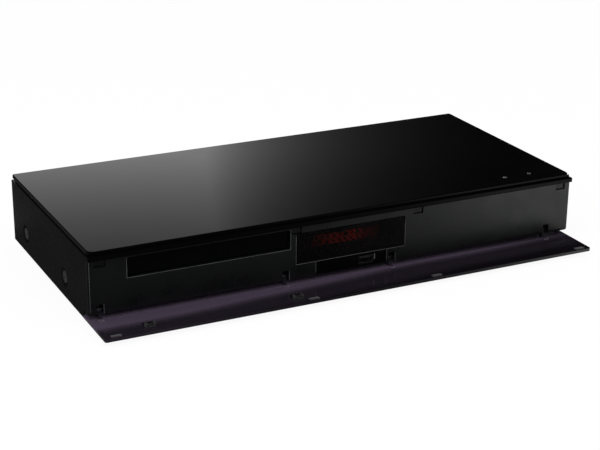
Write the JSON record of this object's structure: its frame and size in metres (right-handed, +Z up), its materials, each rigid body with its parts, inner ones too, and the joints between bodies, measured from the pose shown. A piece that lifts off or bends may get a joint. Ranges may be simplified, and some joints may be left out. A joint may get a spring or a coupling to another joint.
{
  "type": "optical disc player",
  "caption": "Slim optical disc player with a full-width drop-down front flap, sliding disc tray, display window, front socket and a working tray drive inside.",
  "frame": {"origin": "on the surface that the player stands on, under the middle of its outline with the flap open", "axes": "+X to the right seen from the front, +Y to the back, +Z up"},
  "size_m": [0.43, 0.2312, 0.062],
  "materials": {
    "top_gloss": "high gloss black",
    "front_plastic": "semi gloss near-black",
    "flap_tint": "smoky purple-black, glossy",
    "clear_plastic": "clear",
    "window_tint": "dark red smoked window",
    "cover_paint": "satin black paint",
    "zinc_sheet": "zinc plated sheet",
    "black_screw": "blackened steel",
    "bright_steel": "ground steel",
    "soft_pad": "translucent grey elastomer",
    "foot_rubber": "matt black",
    "grommet_rubber": "matt dark grey",
    "belt_rubber": "matt black",
    "board_green": "circuit board with solder mask",
    "board_tan": "paper circuit board",
    "chip_black": "moulded chip",
    "display_glass": "display glass and frame",
    "sink_aluminium": "extruded aluminium",
    "ferrite": "ferrite core with taped coil",
    "can_sleeve": "sleeved aluminium cans",
    "coil_wire": "enamelled copper winding",
    "socket_steel": "bright plated sheet",
    "socket_black": "black moulding",
    "coax_orange": "orange moulding",
    "fan_black": "black moulding",
    "drive_plastic": "black moulding",
    "tray_plastic": "black moulding",
    "gear_plastic": "natural acetal",
    "traverse_plastic": "dark moulding",
    "motor_steel": "plated can",
    "lens_glass": "coated lens",
    "cable_white": "flat cable"
  },
  "bodies": {
    "player": {"top_plate": "top_gloss", "front_lip": "top_gloss", "front_panel": "front_plastic", "display_window": "window_tint", "case_cover": "cover_paint", "side_screws": "black_screw", "rear_screws": "black_screw", "bottom_chassis": "zinc_sheet", "feet": "foot_rubber", "rear_panel": "zinc_sheet", "hinge_pins": "bright_steel", "touch_board": "board_green", "front_board": "board_green", "display_module": "display_glass", "ir_receiver": "chip_black", "usb_board": "board_green", "usb_socket": "socket_steel", "main_board": "board_green", "chips": "chip_black", "heatsink": "sink_aluminium", "power_board": "board_tan", "transformer": "ferrite", "capacitors": "can_sleeve", "choke": "coil_wire", "hdmi_sockets": "socket_steel", "lan_socket": "socket_steel", "coax_socket": "coax_orange", "ac_inlet": "socket_black", "fan_frame": "fan_black", "drive_frame": "drive_plastic", "drive_grommets": "grommet_rubber", "loading_motor": "motor_steel", "loading_belt": "belt_rubber", "clamp_bridge": "zinc_sheet", "front_cable": "cable_white", "touch_cable": "cable_white", "power_cable": "cable_white", "drive_cable": "cable_white"},
    "flap": {"flap": "flap_tint", "flap_arms": "clear_plastic", "flap_stops": "soft_pad", "flap_pads": "soft_pad", "flap_pushers": "soft_pad"},
    "tray": {"tray": "tray_plastic", "tray_front": "front_plastic"},
    "tray_gear": {"tray_gear": "gear_plastic"},
    "pulley_gear": {"pulley_gear": "gear_plastic"},
    "motor_pulley": {"motor_pulley": "gear_plastic", "motor_shaft": "bright_steel"},
    "cam_slider": {"cam_slider": "gear_plastic"},
    "traverse": {"traverse_frame": "traverse_plastic", "spindle_motor": "motor_steel", "guide_rods": "bright_steel", "sled_motor": "motor_steel"},
    "turntable": {"turntable": "drive_plastic"},
    "sled": {"pickup_sled": "motor_steel", "pickup_lens": "lens_glass"},
    "lead_screw": {"lead_screw": "bright_steel"},
    "disc_clamp": {"disc_clamp": "traverse_plastic"},
    "fan_rotor": {"fan_rotor": "fan_black"}
  },
  "joints": [
    {"name": "flap_hinge", "type": "hinge", "parent": "player", "child": "flap", "pos_m": [0, -0.07395, 0.0131], "axis": [1, 0, 0], "range_deg": [-90, 0]},
    {"name": "tray_slide", "type": "slide", "parent": "player", "child": "tray", "axis": [0, -1, 0], "range_m": [0, 0.14]},
    {"name": "tray_gear_spin", "type": "hinge", "parent": "player", "child": "tray_gear", "pos_m": [-0.07825, -0.05535, 0.033], "axis": [0, 0, 1], "range_deg": [-803, 0]},
    {"name": "pulley_gear_spin", "type": "hinge", "parent": "player", "child": "pulley_gear", "pos_m": [-0.09925, -0.05535, 0.029], "axis": [0, 0, 1], "range_deg": [0, 1605]},
    {"name": "motor_pulley_spin", "type": "hinge", "parent": "player", "child": "motor_pulley", "pos_m": [-0.13625, -0.05535, 0.027], "axis": [0, 0, 1], "range_deg": [0, 4905]},
    {"name": "traverse_tilt", "type": "hinge", "parent": "player", "child": "traverse", "pos_m": [-0.11625, 0.08665, 0.0295], "axis": [-1, 0, 0], "range_deg": [0, 4.6]},
    {"name": "cam_slide", "type": "slide", "parent": "player", "child": "cam_slider", "axis": [1, 0, 0], "range_m": [0, 0.02]},
    {"name": "disc_spin", "type": "hinge", "parent": "traverse", "child": "turntable", "pos_m": [-0.11625, -0.00566, 0.0296], "axis": [0, -0.0802, 0.9968], "continuous": true},
    {"name": "clamp_spin", "type": "hinge", "parent": "player", "child": "disc_clamp", "pos_m": [-0.11625, -0.00535, 0.05], "axis": [0, 0, 1], "continuous": true},
    {"name": "sled_slide", "type": "slide", "parent": "traverse", "child": "sled", "axis": [0, 0.9968, 0.0802], "range_m": [0, 0.034]},
    {"name": "lead_screw_spin", "type": "hinge", "parent": "traverse", "child": "lead_screw", "pos_m": [-0.15525, 0.04028, 0.03229], "axis": [0, 0.9968, 0.0802], "range_deg": [0, 6125]},
    {"name": "fan_spin", "type": "hinge", "parent": "player", "child": "fan_rotor", "pos_m": [0.132, 0.10665, 0.034], "axis": [0, 1, 0], "continuous": true}
  ],
  "couplings": [
    {"joint": "tray_gear_spin", "follows": "tray_slide", "rad_per_m": -100},
    {"joint": "pulley_gear_spin", "follows": "tray_slide", "rad_per_m": 200},
    {"joint": "motor_pulley_spin", "follows": "tray_slide", "rad_per_m": 611.43},
    {"joint": "cam_slide", "follows": "traverse_tilt", "m_per_rad": 0.2491},
    {"joint": "clamp_spin", "follows": "disc_spin", "ratio": 1},
    {"joint": "lead_screw_spin", "follows": "sled_slide", "rad_per_m": 3141.6}
  ]
}
